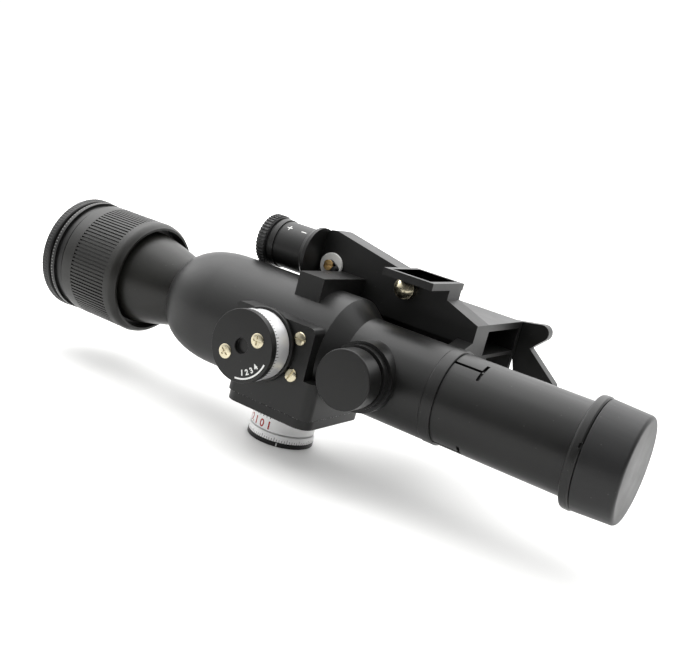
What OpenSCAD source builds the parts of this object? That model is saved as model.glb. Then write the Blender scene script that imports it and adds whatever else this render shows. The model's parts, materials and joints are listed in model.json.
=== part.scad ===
// Telescopic sight with side-rail bracket, lying on its windage turret.
// +X runs along the optical axis to the objective, -Y to the elevation turret,
// -Z to the windage turret, whose end face is the plane z = 0.

/* [Optical tube] */
// Outer diameter of the main housing
housing_d = 50; // [46:0.5:58]
// Main housing, from the turret axes back to its rounded shoulder
housing_back = 40; // [34:1:50]
// Length of the rounded rear shoulder
shoulder_len = 24; // [16:1:30]
// Main housing, from the turret axes forward to its front shoulder
housing_front = 22; // [20:0.5:26]
// Outer diameter of the objective tube
tube_d = 38.4; // [36:0.2:42]
// Front end of the full-size objective tube, from the turret axes
tube_front = 66.8; // [60:0.2:80]
// Bore of the objective tube
tube_bore_d = 30; // [26:0.5:31]
// Diameter of the reduced spigot that carries the sunshade
spigot_d = 34; // [33:0.1:35]
// Length of that spigot
spigot_len = 45; // [40:1:60]

/* [Objective end] */
// Width of the collar behind the sunshade
collar_w = 5; // [3:0.5:8]
// Outer diameter of the sunshade
shade_d = 37.2; // [36.6:0.2:40]
// Sunshade, from its rear edge to its front flange
shade_len = 53.2; // [46:0.2:66]
// Diameter of the front flange
flange_d = 44; // [42:0.2:48]
// Thickness of the front flange
flange_w = 4; // [2:0.5:6]
// Spigot in front of the flange, which the cap pushes onto
nose_len = 12; // [8:1:16]
// Length of the objective cap
cap_len = 16; // [14:0.5:22]
// Diameter of the cap at its front face
cap_front_d = 41.6; // [40.8:0.2:44]
// Wall of the cap's front
cap_wall = 2.4; // [1.6:0.2:3.4]
// Width of the bayonet slots
slot_w = 1.2; // [1.1:0.1:2]
// Diameter of the objective lens
lens_d = 31; // [29:0.5:31.4]

/* [Eyepiece end] */
// Outer diameter of the zoom ring
zoom_d = 52.4; // [49:0.2:58]
// Length of the zoom ring
zoom_len = 34; // [28:1:42]
// Diameter of the eyepiece tube inside the zoom ring
eye_tube_d = 43; // [40:0.5:44]
// Length of the cone in front of the zoom ring
cone_len = 23; // [18:1:32]
// Diameter of the neck where the cone meets the housing
neck_d = 29; // [28:0.5:31]
// Outer diameter of the dioptre ring
dioptre_d = 53; // [50:0.5:58]
// Length of the dioptre ring
dioptre_len = 12; // [11:0.5:18]
// Number of ribs round the zoom ring
rib_count = 96; // [60:2:110]

/* [Turrets] */
// Distance from the optical axis to the elevation cap's face
elevation_h = 44.5; // [43:0.5:50]
// Distance from the optical axis to the windage cap's face
windage_h = 44.3; // [43:0.1:50]
// Outer diameter of the turret drums
drum_d = 28; // [26:0.2:32]
// Thickness of the black elevation cap
elevation_cap_t = 3.2; // [2.4:0.2:4]
// Thickness of the black windage cap
windage_cap_t = 2; // [1.6:0.2:3]
// Width of the fine scale ring under each cap
scale_w = 3; // [2:0.2:4]
// Distance from the optical axis to the elevation block's face
block_h = 30; // [29:0.5:32]
// Distance from the optical axis to the windage base plate's inner face
plate_in = 23; // [21:0.5:25]
// Thickness of the windage base plate
plate_t = 4; // [3:0.5:5]

/* [Lamp] */
// Lamp axis, from the turret axes
lamp_x = 41; // [39:0.5:48]
// Diameter of the lamp cap
lamp_d = 23.6; // [20:0.2:26]
// Distance from the optical axis to the lamp cap's face
lamp_h = 35; // [33:0.5:40]

/* [Bracket] */
// Battery axis, across and above the optical axis
battery_y = 16; // [15:0.5:20]
battery_z = 33.6; // [33:0.2:38]
// Diameter of the knurled battery cap
battery_cap_d = 23.6; // [22:0.2:24]
// Battery button cell: diameter and thickness
cell_d = 11.6; // [11.4:0.1:12]
cell_t = 5.4; // [5:0.1:5.6]
// Near and far edges of the rail block, across the optical axis
block_near = 24; // [24:0.5:26]
block_far = 70; // [68:0.5:76]
// Width of the rail channel
channel_w = 30; // [26:0.5:32]
// Length of the rail block
rail_len = 52; // [46:1:60]
// Reach of the clamp lever, pivot to end
lever_len = 46; // [38:1:56]

/* [Hidden] */

fit = 0.05;          // radial clearance of a running fit
gap = 0.3;           // clearance between pieces that pass each other
eps = 0.01;
axis_z = windage_h;  // height of the optical axis
black = "#1c1c1d";
cast_black = "#232324";
silver = "#c3c4c6";
nickel = "#cfc9b4";
glass = "#9fc4d8";

housing_r = housing_d / 2;
tube_r = tube_d / 2;
bore_r = tube_bore_d / 2;
spigot_r = spigot_d / 2;
shade_r = shade_d / 2;
flange_r = flange_d / 2;
neck_r = neck_d / 2;
zoom_r = zoom_d / 2;
eye_r = eye_tube_d / 2;
dioptre_r = dioptre_d / 2;
drum_r = drum_d / 2;
lens_r = lens_d / 2;
lamp_r = lamp_d / 2;
cell_r = cell_d / 2;

// Stations along the optical axis
housing_rear_x = -(housing_back + shoulder_len);
shoulder_front_x = housing_front + 8;
seat_x = housing_front - 4;                  // rear end of the objective tube
spigot_front_x = tube_front + spigot_len;
collar_front_x = tube_front + collar_w;
flange_x = collar_front_x + shade_len;
nose_x = flange_x + flange_w;
shade_front_x = nose_x + nose_len;
lens_seat_x = spigot_front_x - 17;
zoom_front_x = housing_rear_x - cone_len;
zoom_rear_x = zoom_front_x - zoom_len;
dioptre_rear_x = zoom_rear_x - 0.5 - dioptre_len;
eye_tube_rear_x = zoom_rear_x - 4;

housing_bore_r = housing_r - 4;
neck_bore_r = 12.5;
erector_r = 9.5;
erector_bore_r = 8.05;
gimbal_x = housing_rear_x + 16;
spindle_r = 4;
spindle_tip = erector_r + 1.1;

module turned(profile, faces = 96)
    translate([0, 0, axis_z]) rotate([0, 90, 0]) rotate_extrude($fn = faces) polygon(profile);

module ring_x(x0, x1, r_out, r_in)
    turned([[r_in, x0], [r_out, x0], [r_out, x1], [r_in, x1]]);

module facing_u(x = 0, z = 0) translate([x, 0, axis_z + z]) rotate([90, 0, 0]) children();
module facing_r(x = 0, y = 0) translate([x, y, axis_z]) rotate([180, 0, 0]) children();
module facing_down(x, z, y) translate([x, y, axis_z + z]) rotate([-90, 0, 0]) children();

module post(r, h0, h1) translate([0, 0, h0]) cylinder(r = r, h = h1 - h0, $fn = 64);

module tube_z(r_out, r_in, h0, h1) difference() {
    post(r_out, h0, h1);
    post(r_in, h0 - 1, h1 + 1);
}

// A slab with two rounded edges, standing on the plane h0
module pad(x0, x1, y0, y1, h0, h1, corner = 2.5)
    translate([0, 0, h0]) linear_extrude(h1 - h0) hull()
        for (x = [x0 + corner, x1 - corner], y = [y0 + corner, y1 - corner])
            translate([x, y]) circle(r = corner, $fn = 32);

// Round-headed screw whose head stands proud of the plane h
module screw(r, h, proud, shank_r, shank, slot = 0.8) difference() {
    union() {
        post(r, h, h + proud);
        post(shank_r, h - shank, h + eps);
    }
    translate([-r, -slot / 2, h + proud - 0.5]) cube([2 * r, slot, 1]);
}

// ---------------------------------------------------------------- housing
block_x0 = -17;
block_x1 = 22;
block_z0 = -17;
block_z1 = 13;
plate_x0 = -13;
plate_x1 = 28;
plate_y0 = -30;
plate_y1 = 14;
block_screw_x = 16;
block_screw_z = 7.5;

function shoulder(a) = [neck_r + (housing_r - neck_r) * sin(a),
    -housing_back - shoulder_len * cos(a)];

module main_housing() color(cast_black) difference() {
    union() {
        turned(concat([[0, housing_rear_x]], [for (a = [0 : 6 : 90]) shoulder(a)],
            [[housing_r, housing_front], [tube_r, shoulder_front_x], [0, shoulder_front_x]]));
        facing_u() pad(block_x0, block_x1, block_z0, block_z1, 12, block_h);
        facing_r() pad(plate_x0, plate_x1, -plate_y1, -plate_y0, 8, plate_in, 4);
    }
    facing_r() pad(plate_x0 - 0.1, plate_x1 + 0.1, -plate_y1 - 0.1, -plate_y0 + 0.1,
        plate_in, plate_in + 10, 4);
    translate([gimbal_x, 0, axis_z]) cylinder(r = trunnion_r + fit, h = 27.2, center = true);
    ring_x(-housing_back - 4, housing_front - 6, housing_bore_r, 0);
    ring_x(seat_x, shoulder_front_x + 1, bore_r + 2.5, 0);
    ring_x(housing_front - 7, seat_x + eps, bore_r, 0);
    ring_x(housing_rear_x - 1, 0, neck_bore_r, 0);
    facing_u() post(spindle_r + fit, 5, block_h + 1);
    facing_r() post(spindle_r + fit, 5, plate_in + 1);
    for (z = [-block_screw_z, block_screw_z])
        facing_u(block_screw_x, z) post(1.6, block_h - 6, block_h + 1);
    facing_r() for (x = [plate_x0 + 4, plate_x1 - 4], y = [-plate_y1 + 4, -plate_y0 - 4])
        translate([x, y]) post(1.2, plate_in - 5, plate_in + 1);
    for (x = [2, 8]) translate([x, 0, axis_z]) post(1.2, housing_r - 3, housing_r + 3);
}

// ---------------------------------------------------------------- objective end
lamp_boss_r = lamp_r + 0.8;
boss_top = lamp_h - 9;

module objective_tube() color(black) difference() {
    union() {
        turned([[0, seat_x], [bore_r + 2.5, seat_x], [bore_r + 2.5, shoulder_front_x],
            [tube_r, shoulder_front_x], [tube_r, tube_front], [spigot_r, tube_front],
            [spigot_r, spigot_front_x], [0, spigot_front_x]]);
        difference() {
            facing_u(lamp_x) {
                post(lamp_boss_r + 1.4, 10, boss_top - 4);
                post(lamp_boss_r, 10, boss_top - 1);
            }
            box(0, shoulder_front_x, -60, 60, -40, 40);
        }
    }
    ring_x(seat_x - 1, lens_seat_x + eps, bore_r, 0);
    ring_x(lens_seat_x, spigot_front_x + 1, lens_r + fit, 0);
    facing_u(lamp_x) post(lamp_r - 4.5, boss_top - 6, boss_top);
    facing_u(lamp_x) post(3, 5, boss_top);
    for (a = bayonet_angles) bayonet_at(a) post(pin_r, spigot_r - 1.2, spigot_r + 5);
}

module shade_collar() color(black) ring_x(tube_front, collar_front_x, tube_r + 0.2, spigot_r);

// Three bayonet pins of the spigot stand in T-shaped slots of the sunshade
bayonet_angles = [60, -60, 180];
pin_r = slot_w / 2 - 0.1;
pin_x = collar_front_x + 11.8;
module bayonet_at(a) translate([pin_x, 0, axis_z]) rotate([-a, 0, 0]) rotate([90, 0, 0]) children();

module bayonet_pins() color(black)
    for (a = bayonet_angles) bayonet_at(a) post(pin_r, spigot_r - 1.2, shade_r - 0.4);

module sunshade() color(black) difference() {
    turned([[spigot_r + fit, collar_front_x], [shade_r, collar_front_x], [shade_r, flange_x],
        [flange_r - 1.2, flange_x], [flange_r - 0.3, flange_x + 0.4], [flange_r, flange_x + 1.3],
        [flange_r, nose_x - 0.6], [flange_r - 0.6, nose_x],
        [shade_r + 0.2, nose_x], [shade_r + 0.2, shade_front_x], [spigot_r + fit, shade_front_x]]);
    for (a = bayonet_angles) bayonet_at(a) {
        translate([collar_front_x - pin_x - 1, -slot_w / 2, spigot_r - 1])
            cube([pin_x - collar_front_x + 1, slot_w, 6]);
        translate([-slot_w / 2, -4.8, spigot_r - 3]) cube([slot_w, 9.6, 8]);
    }
    translate([0, 0, axis_z]) rotate([-18, 0, 0])
        translate([nose_x - 1, -flange_r - 1, -1]) cube([2, 2.4, 2]);
}

module objective_cap() color("#262627") {
    rim = flange_r - 0.4;
    inner = shade_r + 0.2 + fit;
    end = nose_x + 0.1 + cap_len;
    turned([[inner, nose_x + 0.1], [rim, nose_x + 0.1], [cap_front_d / 2, end - 1.4],
        [cap_front_d / 2 - 0.4, end - 0.4], [cap_front_d / 2 - 1.4, end], [0, end],
        [0, end - cap_wall], [inner, end - cap_wall]]);
}

// Lens turned about the optical axis, with two spherical faces
module lens(x, r, t, front, back)
    translate([x, 0, axis_z]) rotate([0, 90, 0]) rotate_extrude($fn = 96) intersection() {
        translate([0, -t]) square([r, 2 * t]);
        translate([0, t / 2 - front]) circle(r = front, $fn = 180);
        translate([0, back - t / 2]) circle(r = back, $fn = 180);
    }

crown_t = 7;
flint_t = 3;
crown_x = lens_seat_x + flint_t + 0.1 + crown_t / 2;
module crown_lens() color(glass) lens(crown_x, lens_r, crown_t, 62, 48);
module flint_lens() color(glass) difference() {
    ring_x(lens_seat_x, lens_seat_x + flint_t, lens_r, 0);
    translate([lens_seat_x + flint_t + 90 - 1.2, 0, axis_z]) sphere(r = 90, $fn = 96);
}
module lens_lock_ring() color(black)
    ring_x(crown_x + crown_t / 2 + 0.1, spigot_front_x - 1, lens_r + fit, lens_r - 2);

module reticle_ring() color("silver") difference() {
    ring_x(lamp_x - 4, lamp_x + 4, bore_r, bore_r - 3);
    facing_u(lamp_x) post(3, 5, bore_r + 1);
}
module reticle_glass() color(glass) ring_x(lamp_x - 1, lamp_x + 1, bore_r - 3, 0);

// ---------------------------------------------------------------- erector
front_cell_x = 6;
rear_cell_x = -26;
trunnion_r = 1;

// Two short pins in line through the gimbal's centre, standing along +Z and -Z
module trunnions(inner, outer) translate([gimbal_x, 0, axis_z])
    for (a = [0, 180]) rotate([a, 0, 0]) post(trunnion_r, inner, outer);

module gimbal_ring() color(silver) {
    difference() {
        ring_x(gimbal_x - 2, gimbal_x + 2, neck_bore_r - 0.5, erector_r + 0.5);
        translate([gimbal_x, 0, axis_z]) rotate([90, 0, 0])
            cylinder(r = trunnion_r + fit, h = 30, center = true);
    }
    trunnions(neck_bore_r - 1, neck_bore_r + 0.8);
}
module erector_tube() color(silver) {
    ring_x(gimbal_x - 3, 14, erector_r, erector_bore_r);
    translate([0, 0, axis_z]) rotate([90, 0, 0]) translate([0, 0, -axis_z])
        trunnions(erector_r - 0.6, neck_bore_r - 0.8);
}
module cell(x) ring_x(x - 4, x + 4, erector_bore_r - fit, 6.8);
module front_cell() color("gold") cell(front_cell_x);
module rear_cell() color("gold") cell(rear_cell_x);
module front_cell_lens() color(glass) lens(front_cell_x, 6.8, 4, 20, 26);
module rear_cell_lens() color(glass) lens(rear_cell_x, 6.8, 4, 26, 20);
module erector_spring() color(nickel)
    translate([0, 0, axis_z]) rotate([-45, 0, 0])
        translate([-18, -4, erector_r + 2.5]) {
            cube([34, 8, 0.8]);
            translate([0, 0, 0.8]) cube([4, 8, housing_bore_r - erector_r - 4]);
        }

// ---------------------------------------------------------------- turrets
elevation_base_t = 2;
module elevation_base() color(black) facing_u()
    tube_z(drum_r + 1, spindle_r + 0.5, block_h, block_h + elevation_base_t);

module drum(base_h, top_h) tube_z(drum_r - 0.1, drum_r - 3, base_h + gap, top_h);
module scale_ring(base_h) tube_z(drum_r + 0.3, drum_r - 3, base_h, base_h + scale_w);
module knob_cap(h, t, hole = true) difference() {
    post(drum_r + 0.4, h - t, h);
    if (hole) post(3.1, h - 1.8, h + 1);
    for (a = knob_screw_angles) rotate(a) translate([knob_screw_pcd / 2, 0]) post(1.2, h - t - 1, h + 1);
}
module spindle(h, t) post(spindle_r, spindle_tip, h - t);
knob_screw_angles = [33, 213];
knob_screw_pcd = 16;

elevation_scale_h = elevation_h - elevation_cap_t - scale_w;
windage_scale_h = windage_h - windage_cap_t - scale_w;
drum_groove = 0.5;

module elevation_drum() color(silver) facing_u()
    drum(block_h + elevation_base_t, elevation_scale_h - drum_groove);
module elevation_scale() color(silver) facing_u() {
    scale_ring(elevation_scale_h);
    tube_z(drum_r - 1.5, drum_r - 3, elevation_scale_h - drum_groove, elevation_scale_h + eps);
}
module elevation_cap() color(black) facing_u() knob_cap(elevation_h, elevation_cap_t);
module elevation_spindle() color(nickel) facing_u() spindle(elevation_h, elevation_cap_t);
module elevation_cap_screws() color(nickel) facing_u()
    for (a = knob_screw_angles) rotate(a) translate([knob_screw_pcd / 2, 0])
        screw(2.9, elevation_h, 0.5, 1.15, elevation_cap_t, 0.7);
module block_screws() color(nickel)
    for (z = [-block_screw_z, block_screw_z]) facing_u(block_screw_x, z)
        screw(2.7, block_h, 1, 1.55, 5, 0.8);

windage_face = plate_in + plate_t;
module windage_base() color(black) facing_r() difference() {
    pad(plate_x0, plate_x1, -plate_y1, -plate_y0, plate_in, windage_face, 6);
    post(spindle_r + 0.5, 0, windage_face + 1);
    for (x = [plate_x0 + 4, plate_x1 - 4], y = [-plate_y1 + 4, -plate_y0 - 4])
        translate([x, y]) {
            post(1.2, plate_in - 1, windage_face + 1);
            post(2.25, windage_face - 1.2, windage_face + 1);
        }
}
module windage_base_screws() color(black) facing_r()
    for (x = [plate_x0 + 4, plate_x1 - 4], y = [-plate_y1 + 4, -plate_y0 - 4])
        translate([x, y]) screw(2.2, windage_face - 1.2, 1.2, 1.15, 7, 0.7);
module windage_drum() color(silver) facing_r()
    drum(windage_face, windage_scale_h - drum_groove);
module windage_scale() color(silver) facing_r() {
    scale_ring(windage_scale_h);
    tube_z(drum_r - 1.5, drum_r - 3, windage_scale_h - drum_groove, windage_scale_h + eps);
}
module windage_cap() color(black) facing_r() knob_cap(windage_h, windage_cap_t, false);
module windage_spindle() color(nickel) facing_r() spindle(windage_h, windage_cap_t);
module windage_cap_screws() color(nickel) facing_r()
    for (a = knob_screw_angles) rotate(a) translate([knob_screw_pcd / 2, 0])
        post(1.15, windage_h - windage_cap_t, windage_h - 0.4);

// ---------------------------------------------------------------- lamp
module lamp_seal() color("#111111") facing_u(lamp_x)
    tube_z(lamp_r - 0.6, lamp_r - 2.5 + fit, boss_top - 1, boss_top);
module lamp_cap() color(cast_black) facing_u(lamp_x) difference() {
    post(lamp_r, boss_top, lamp_h);
    post(lamp_r - 2.5 + fit, boss_top - 1, lamp_h - 2);
}
module lamp_holder() color("gold") facing_u(lamp_x) difference() {
    union() {
        post(lamp_r - 4.5, boss_top - 6, boss_top);
        post(lamp_r - 2.5, boss_top - 1, boss_top + 4);
    }
    post(2.6, boss_top - 7, boss_top);
}
module lamp_bulb() color("#e8d9a0") facing_u(lamp_x) {
    post(2.5, boss_top - 5, boss_top - 0.1);
    translate([0, 0, boss_top - 5]) sphere(r = 2.5, $fn = 48);
}

// ---------------------------------------------------------------- eyepiece end
function cone_at(x) = neck_r + (eye_r - neck_r) * pow((housing_rear_x - x) / (cone_len + 3), 0.8);

module eyepiece_tube() color(black) difference() {
    turned(concat([[0, housing_rear_x + 10], [neck_bore_r, housing_rear_x + 10],
        [neck_bore_r, housing_rear_x]],
        [for (i = [0 : 8]) let (x = housing_rear_x - (cone_len + 3) * i / 8) [cone_at(x), x]],
        [[eye_r, eye_tube_rear_x], [0, eye_tube_rear_x]]));
    ring_x(housing_rear_x - 4, housing_rear_x + 11, 10.5, 0);
    turned([[0, housing_rear_x - 4 + eps], [10.5, housing_rear_x - 4 + eps],
        [eye_r - 3.5, zoom_front_x - 8], [0, zoom_front_x - 8]]);
    ring_x(eye_tube_rear_x - 1, zoom_front_x - 8 + eps, eye_r - 3.5, 0);
}

rib_x0 = zoom_front_x - 6.4;
rib_x1 = zoom_rear_x + 6.8;
module zoom_ring() color(black) {
    difference() {
        turned([[eye_r + fit, zoom_rear_x], [zoom_r - 0.8, zoom_rear_x],
            [zoom_r, zoom_rear_x + 0.8], [zoom_r, zoom_front_x - 3.5],
            [zoom_r - 0.5, zoom_front_x - 1.6], [zoom_r - 1.6, zoom_front_x],
            [zoom_r - 2.6, zoom_front_x], [zoom_r - 2.6, zoom_front_x - 6],
            [eye_r + fit, zoom_front_x - 6]]);
        turned([[zoom_r - 0.6, rib_x1], [zoom_r + 1, rib_x1], [zoom_r + 1, rib_x0],
            [zoom_r - 0.6, rib_x0]]);
    }
    translate([0, 0, axis_z]) for (i = [0 : rib_count - 1]) rotate([i * 360 / rib_count, 0, 0])
        translate([rib_x1, -0.5, zoom_r - 1]) cube([rib_x0 - rib_x1, 1, 0.95]);
}

groove_w = 3.6;
scale_ring_w = 2;
scale_x = zoom_rear_x - 0.5 - groove_w;
rim_x = scale_x - scale_ring_w - 1.4;
module dioptre_ring() color(black)
    turned([[eye_r + fit, zoom_rear_x - 0.5], [dioptre_r - 1.3, zoom_rear_x - 0.5],
        [dioptre_r - 1.3, rim_x], [dioptre_r - 0.5, rim_x], [dioptre_r, rim_x - 0.5],
        [dioptre_r, dioptre_rear_x + 0.9], [dioptre_r - 0.9, dioptre_rear_x],
        [eye_r + 1, dioptre_rear_x], [eye_r - 3, dioptre_rear_x + 5],
        [eye_r - 3, eye_tube_rear_x - 0.5], [eye_r + fit, eye_tube_rear_x - 0.5]]);
module dioptre_scale() color(silver)
    ring_x(scale_x - scale_ring_w, scale_x, dioptre_r - 0.2, dioptre_r - 1.3);

cell_bore_r = eye_r - 3.5 - fit;
cell_front_x = zoom_front_x - 12;
cell_rear_x = eye_tube_rear_x + 3;
module eye_lens_cell() color(black) difference() {
    ring_x(cell_rear_x, cell_front_x, cell_bore_r, 0);
    ring_x(cell_rear_x - 1, cell_rear_x + 7, cell_bore_r - 1.5, 0);
    ring_x(cell_front_x - 6, cell_front_x + 1, cell_bore_r - 1.5, 0);
    ring_x(cell_rear_x + 6, cell_front_x - 5, cell_bore_r - 3, 0);
}
module eye_lens() color(glass) lens(cell_rear_x + 4, cell_bore_r - 1.5, 6, 40, 60);
module field_lens() color(glass) lens(cell_front_x - 3.5, cell_bore_r - 1.5, 5, 60, 60);

// ---------------------------------------------------------------- bracket
web_y0 = 18;
web_y1 = 30;
web_rear_x = -13;
rail_x1 = tube_front - 0.8;
rail_x0 = rail_x1 - rail_len;
ceiling_z = 12;
lip_z = -4;
near_lip_y = block_far - 2 - channel_w - 6;
far_lip_y = block_far - 2;
rail_top_z = 27;
jaw_x0 = 25;
jaw_x1 = 38;
stud_x = 31.4;
stud_z = 32.2;
nut_r = 4.6;
jaw_top = stud_z + 3.6;
pivot_x = 44;
pivot_z = 19;
pivot_r = 2.5;
switch_x = -6.7;
switch_z = 31.1;
cell_count = 3;
cell_bore = cell_r + 0.3;
battery_bore_end = web_rear_x - 1.5;
battery_tube_r = 10.4;
battery_flange_r = 12.2;
battery_rear_x = -34;

module box(x0, x1, y0, y1, z0, z1)
    translate([x0, y0, axis_z + z0]) cube([x1 - x0, y1 - y0, z1 - z0]);

module side_plate(y0, y1, outline)
    translate([0, y1, axis_z]) rotate([90, 0, 0]) linear_extrude(y1 - y0) polygon(outline);

module bracket() color(cast_black) difference() {
    union() {
        side_plate(web_y0, web_y1, [[web_rear_x, 18], [web_rear_x, 44.4], [web_rear_x + 2, 45.7],
            [web_rear_x + 5, 46], [24, 39.4], [50, 39.4], [50, 33], [rail_x1, 27],
            [rail_x1, 18]]);
        box(27, 50, 1, 31, 37, 40);
        box(web_rear_x - 5, web_rear_x + 2, web_y0, web_y0 + 8, battery_z - 6, battery_z + 8);
        box(-1, 11, -15, web_y0 + 1, 16, 30);
        translate([0, battery_y, axis_z + battery_z]) rotate([0, 90, 0]) {
            post(battery_tube_r, battery_rear_x, web_rear_x);
            translate([0, 0, web_rear_x - 4])
                cylinder(r1 = battery_tube_r, r2 = battery_flange_r, h = 2.5, $fn = 64);
            post(battery_flange_r, web_rear_x - 1.5, web_rear_x);
            post(battery_tube_r + 0.5, battery_rear_x + 0.5, battery_rear_x + 3);
        }
        box(rail_x0, rail_x1, block_near, block_far, ceiling_z, rail_top_z);
        box(rail_x0, rail_x1, near_lip_y, near_lip_y + 6, lip_z, ceiling_z + 1);
        box(rail_x0, rail_x1, far_lip_y, block_far + 0.5, lip_z, ceiling_z + 8);
        box(rail_x0, rail_x1, near_lip_y, near_lip_y + 8, lip_z, lip_z + 3);
        box(rail_x0, rail_x1, far_lip_y - 2, block_far, lip_z, lip_z + 3);
        translate([rail_x1 - 7, 0, axis_z]) rotate([90, 0, 90]) linear_extrude(7)
            polygon([[6, 18], [10.8, 17.5], [block_near, 21.5], [block_near + 4, 21.5],
                [block_near + 4, ceiling_z], [16, 10]]);
    }
    ring_x(-60, housing_front + 0.5, housing_r, 0);
    turned([[0, housing_front], [housing_r + 0.6, housing_front], [tube_r + 0.6, shoulder_front_x],
        [tube_r + 0.6, tube_front - 9], [0, tube_front - 9]]);
    ring_x(tube_front - 10, tube_front + 9, tube_r, 0);
    translate([0, battery_y, axis_z + battery_z]) rotate([0, 90, 0])
        post(cell_bore, battery_rear_x - 2, battery_bore_end);
    // pocket in the rail block's front face
    box(rail_x1 - 14, rail_x1 + 1, block_near + 8, block_far - 3, ceiling_z + 1.5, rail_top_z - 3);
    // recessed panel of the guard plate
    box(29.5, 47.5, 3.5, 28.5, 39.4, 42);
    // slot of the sliding jaw, and the stud's hole
    box(jaw_x0 - fit, jaw_x1 + fit, near_lip_y - 6, near_lip_y + 10, lip_z - 1, ceiling_z);
    box(jaw_x0 - fit, jaw_x1 + fit, near_lip_y - 6, near_lip_y + 6, ceiling_z - 1, jaw_top + 0.3);
    facing_down(stud_x, stud_z, -2) post(2.5 + fit, 0, 40);
    // lever pivot and cam pocket in the far lip
    facing_down(pivot_x, pivot_z, 0) post(pivot_r + fit, block_far - 12, block_far + 4);
    // switch bolt, screw holes of the lug
    facing_u(switch_x, switch_z) post(1.6, -web_y0 - 4, -web_y0 + 1);
    for (x = [2, 8]) translate([x, 0, axis_z]) post(1.25, 20, 31);
}

module bracket_screws() color(black) translate([0, 0, axis_z])
    for (x = [2, 8]) translate([x, 0]) post(1.15, housing_r - 2, 30);

module battery_cap() color(black)
    translate([0, battery_y, axis_z + battery_z]) rotate([0, -90, 0])
        difference() {
            post(battery_cap_d / 2, -battery_rear_x + 1, -battery_rear_x + 6);
            post(cell_bore, -battery_rear_x, -battery_rear_x + 2.5);
        }
module battery_seal() color("#111111")
    translate([0, battery_y, axis_z + battery_z]) rotate([0, -90, 0])
        tube_z(battery_tube_r - 0.6, cell_bore + 0.4, -battery_rear_x, -battery_rear_x + 1);
module battery_cells() color("#7d8288")
    translate([0, battery_y, axis_z + battery_z]) rotate([0, 90, 0])
        for (i = [0 : cell_count - 1]) translate([0, 0, battery_rear_x - 1 + i * cell_t]) {
            post(cell_r, 0.8, cell_t - 0.1);
            post(cell_r - 1.3, 0.05, 0.8 + eps);
        }
module battery_spring() color(nickel)
    translate([0, battery_y, axis_z + battery_z]) rotate([0, 90, 0]) {
        end = battery_bore_end;
        start = battery_rear_x - 1 + cell_count * cell_t;
        post(4.5, end - 0.6, end);
        post(1.2, start, end - 0.5);
        post(3, start - 0.05, start + 0.5);
    }

module switch_washer() color("white") facing_u(switch_x, switch_z) tube_z(5.4, 1.6, -web_y0, -web_y0 + 1.4);
module switch_bolt() color("#b08d4a") facing_u(switch_x, switch_z) difference() {
    union() {
        post(1.55, -web_y0 - 4, -web_y0 + 2.6);
        post(2.3, -web_y0 + 2.6, -web_y0 + 3.8);
    }
    translate([-3, -0.4, -web_y0 + 3.3]) cube([6, 0.8, 2]);
}
module switch_lever() color(black) facing_u(switch_x, switch_z) difference() {
    union() {
        translate([0, 0, -web_y0 + 1.45]) linear_extrude(1.1) hull() {
            circle(r = 2.4, $fn = 48);
            translate([3.4, -0.8]) circle(r = 1.3, $fn = 32);
        }
        translate([3.4, -0.8]) post(1.1, -web_y0 + 1.5, -web_y0 + 4);
    }
    post(1.6, -web_y0, -web_y0 + 5);
}

module clamp_jaw() color(black) {
    y0 = near_lip_y - 3;
    box(jaw_x0, jaw_x1, y0, near_lip_y + 5.7, lip_z, ceiling_z - 1);
    box(jaw_x0, jaw_x1, y0, near_lip_y + 3, ceiling_z - 1 - eps, jaw_top);
    box(jaw_x0, jaw_x1, y0, near_lip_y + 7.7, lip_z, lip_z + 3);
    facing_down(stud_x, stud_z, 0) post(2.5, nut_y0 + 2.3, y0 + eps);
}
nut_y0 = web_y0 - 3.5;
module tension_nut() color(nickel) facing_down(stud_x, stud_z, 0) difference() {
    union() {
        post(nut_r, nut_y0, web_y0 - 0.05);
        translate([0, 0, nut_y0]) intersection() {
            translate([0, 0, 3]) sphere(r = 5.4, $fn = 64);
            post(nut_r, -3, 1);
        }
    }
    post(2.5 + fit, nut_y0, web_y0 + 3);
}

lever_t = 6;
lever_y0 = block_far + 1;
reach = lever_len / 46;

// Round corner of the lever's outline, measured forward and down from its pivot
module corner_at(forward, down, r)
    translate([forward * reach, down * reach]) circle(r = r, $fn = 32);

module clamp_lever() color(cast_black) facing_down(pivot_x, pivot_z, lever_y0) difference() {
    union() {
        linear_extrude(lever_t) hull() {
            circle(r = 7, $fn = 48);
            corner_at(23, 3, 3.5);
        }
        linear_extrude(lever_t) hull() {
            corner_at(23, 3, 3.5);
            corner_at(41, 16.5, 3);
            corner_at(30.5, 25, 3);
        }
        linear_extrude(lever_t) hull() {
            corner_at(14, -3, 3.5);
            corner_at(23, 3, 3.5);
            corner_at(31, -5.5, 3.8);
        }
    }
    post(pivot_r + fit, -1, lever_t + 1);
}
module lever_pivot() color(nickel) facing_down(pivot_x, pivot_z, 0) {
    post(pivot_r, block_far - 11, lever_y0 + lever_t + 0.3);
    post(4.2, lever_y0 + lever_t + 0.3, lever_y0 + lever_t + 1.8);
}

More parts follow.
